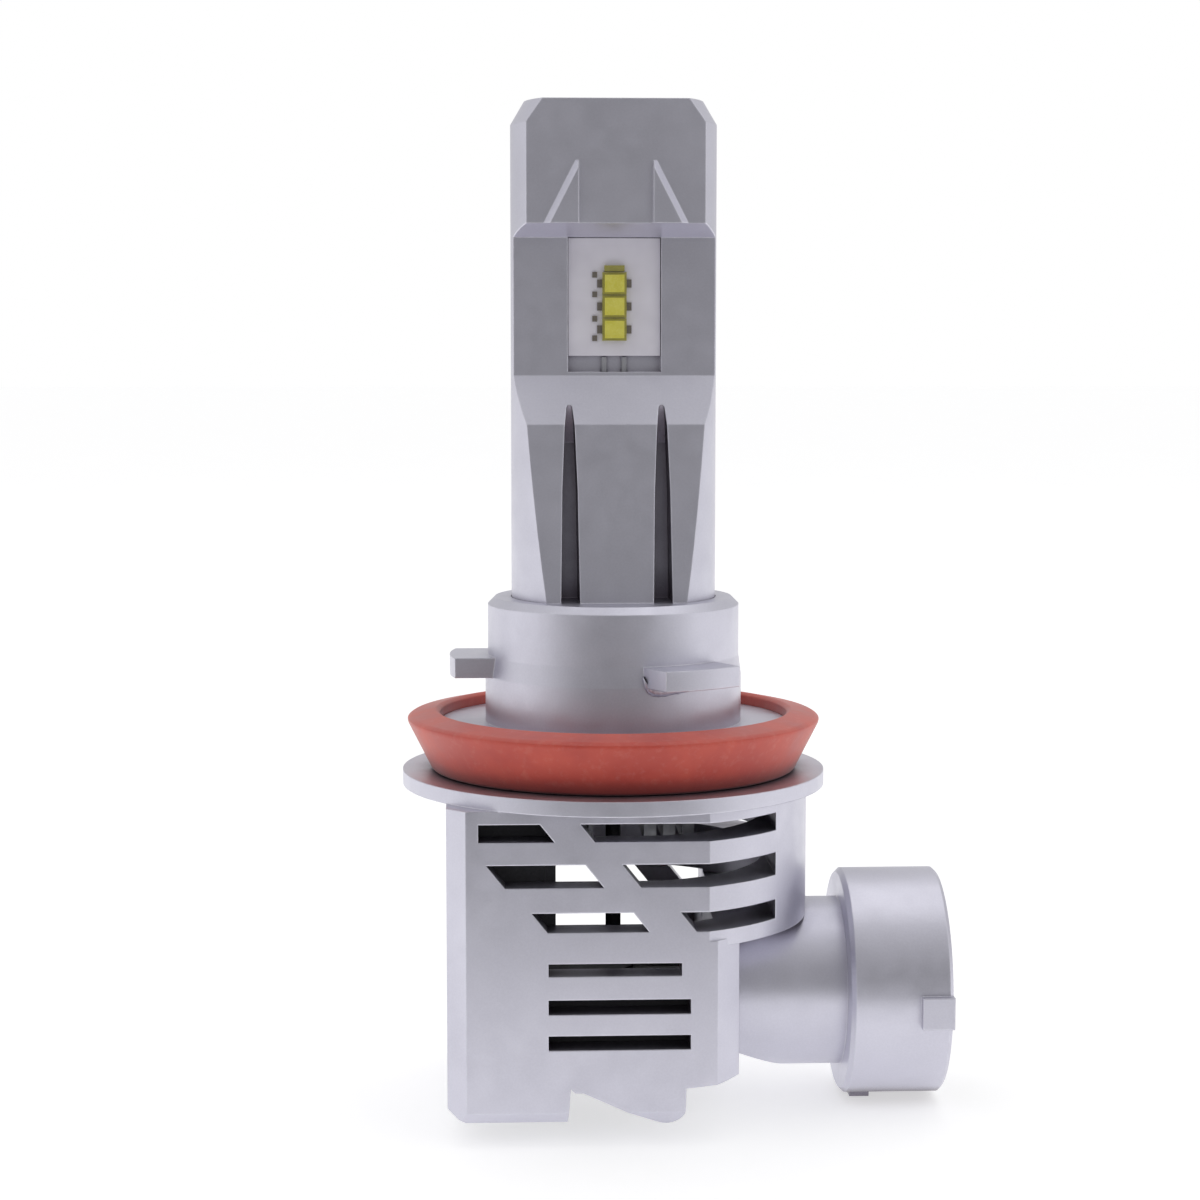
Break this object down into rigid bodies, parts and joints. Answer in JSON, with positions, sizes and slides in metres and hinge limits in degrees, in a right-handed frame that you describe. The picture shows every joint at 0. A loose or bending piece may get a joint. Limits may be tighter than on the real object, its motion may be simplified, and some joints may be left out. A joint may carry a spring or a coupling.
{
  "type": "headlight bulb",
  "caption": "LED headlight bulb with a slim two-sided emitter column, bayonet collar with seal, louvred fan-cooled housing and right-angle connector.",
  "frame": {"origin": "on the lamp axis, at the underside of the three locating tabs, which is the reference plane that seats on the lamp socket", "axes": "+Z along the lamp axis towards the column tip, +X towards the harness connector, -Y towards the front emitter face"},
  "size_m": [0.0409, 0.032, 0.0756],
  "materials": {
    "cast_silver": "satin silver paint on a die casting, fine cast grain",
    "bare_aluminium": "as cut",
    "copper": "bare copper",
    "board_white": "satin white solder mask",
    "emitter_substrate": "matt",
    "phosphor": "yellow phosphor tile",
    "solder": "dull solder",
    "seal_red": "satin silicone",
    "steel": "plain",
    "circuit_board": "solder mask",
    "ferrite": "matt",
    "capacitor": "matt",
    "chip_black": "matt",
    "lead_red": "insulation",
    "lead_black": "insulation",
    "lead_white": "insulation",
    "bronze": "sintered bronze",
    "terminal_tin": "tinned brass",
    "ring_black": "nitrile",
    "black_plastic": "fine moulded texture",
    "fan_black": "fine moulded texture"
  },
  "bodies": {
    "lamp": {"lamp_column": "cast_silver", "copper_core": "copper", "led_board_front": "board_white", "led_board_rear": "board_white", "led_emitters_front": "emitter_substrate", "led_emitters_rear": "emitter_substrate", "led_phosphor_front": "phosphor", "led_phosphor_rear": "phosphor", "solder_pads_front": "solder", "solder_pads_rear": "solder", "mounting_collar": "cast_silver", "sealing_gasket": "seal_red", "housing": "cast_silver", "inner_heat_sink": "bare_aluminium", "column_screws": "steel", "collar_screws": "steel", "driver_tray": "black_plastic", "driver_cover": "black_plastic", "driver_board": "circuit_board", "driver_inductor": "ferrite", "driver_capacitors": "capacitor", "driver_chips": "chip_black", "led_lead_positive": "lead_white", "led_lead_negative": "lead_black", "board_link_lead": "lead_white", "lead_sleeve": "black_plastic", "fan_frame": "fan_black", "fan_bearing": "bronze", "fan_circuit_board": "circuit_board", "fan_stator": "steel", "fan_coils": "copper", "fan_guard": "bare_aluminium", "fan_screws": "steel", "fan_leads": "lead_red", "connector_shroud": "cast_silver", "shroud_o_ring": "ring_black", "terminal_carrier": "black_plastic", "terminal_positive": "terminal_tin", "terminal_negative": "terminal_tin", "input_lead_positive": "lead_red", "input_lead_negative": "lead_black"},
    "rotor": {"fan_impeller": "fan_black", "fan_magnet": "ferrite", "fan_shaft": "steel", "fan_retainer": "steel"}
  },
  "joints": [
    {"name": "fan_spin", "type": "hinge", "parent": "lamp", "child": "rotor", "pos_m": [-0.0022, 0, -0.0245], "axis": [0, 0, 1], "continuous": true}
  ]
}
